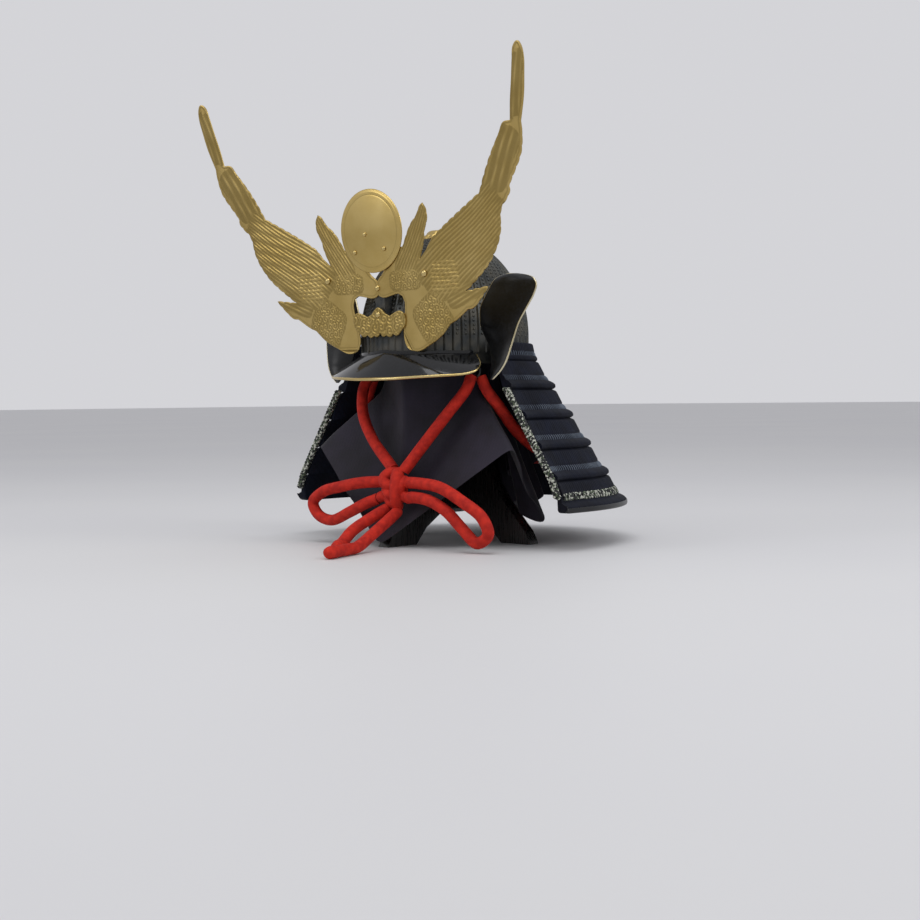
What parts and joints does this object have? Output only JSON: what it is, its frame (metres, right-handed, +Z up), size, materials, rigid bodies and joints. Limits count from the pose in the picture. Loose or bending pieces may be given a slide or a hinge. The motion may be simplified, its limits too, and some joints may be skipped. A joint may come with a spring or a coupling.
{
  "type": "kabuto samurai helmet on a cloth-covered stand",
  "caption": "Kabuto samurai helmet: ribbed iron bowl, gilt winged crest, laced neck guard and red chin cord, on a cloth-covered stand",
  "frame": {"origin": "On the surface, under the middle of the helmet, crest and stand, without the chin cord.", "axes": "+Z up, the helmet looks along -Y, and +X is its wearer's left."},
  "size_m": [0.562, 0.5273, 0.5933],
  "materials": {
    "iron": "dark russet iron, satin, with low ribs and rivet heads",
    "lacquer": "black lacquer, glossy",
    "gilt": "gilt copper, satin, engraved",
    "lacing": "dark navy silk lacing",
    "speckled": "speckled white, green and black braid",
    "cord": "padded red crepe",
    "cloth": "dark purple cloth with a soft sheen",
    "wood": "black lacquered wood"
  },
  "bodies": {
    "root": {"bowl": "iron", "crown_ring": "gilt", "waist_band": "iron", "neck_lame_1": "lacing", "neck_lame_2": "lacing", "neck_lame_3": "lacing", "neck_lame_4": "lacing", "neck_lame_5": "lacing", "neck_lame_6": "lacing", "edge_braid_left": "speckled", "edge_braid_right": "speckled", "visor": "lacquer", "visor_rim": "gilt", "side_plate_left": "lacquer", "side_plate_right": "lacquer", "side_rim_left": "gilt", "side_rim_right": "gilt", "crest_wing_left": "gilt", "crest_wing_right": "gilt", "crest_base": "gilt", "crest_post": "iron", "crest_disc": "gilt", "wing_stud_left": "gilt", "wing_stud_right": "gilt", "base_rivet_upper": "gilt", "base_rivet_lower": "gilt", "disc_stud_1": "gilt", "disc_stud_2": "gilt", "disc_stud_3": "gilt", "stand_board_long": "wood", "stand_board_cross": "wood", "stand_head": "wood", "cloth": "cloth", "cord_ring_left": "iron", "cord_ring_right": "iron", "cord_knot": "cord", "cord_strand_left": "cord", "cord_strand_right": "cord", "cord_back": "cord", "cord_bow_right": "cord", "cord_bow_left": "cord", "cord_tail_front": "cord", "cord_tail_rear": "cord"}
  },
  "joints": []
}
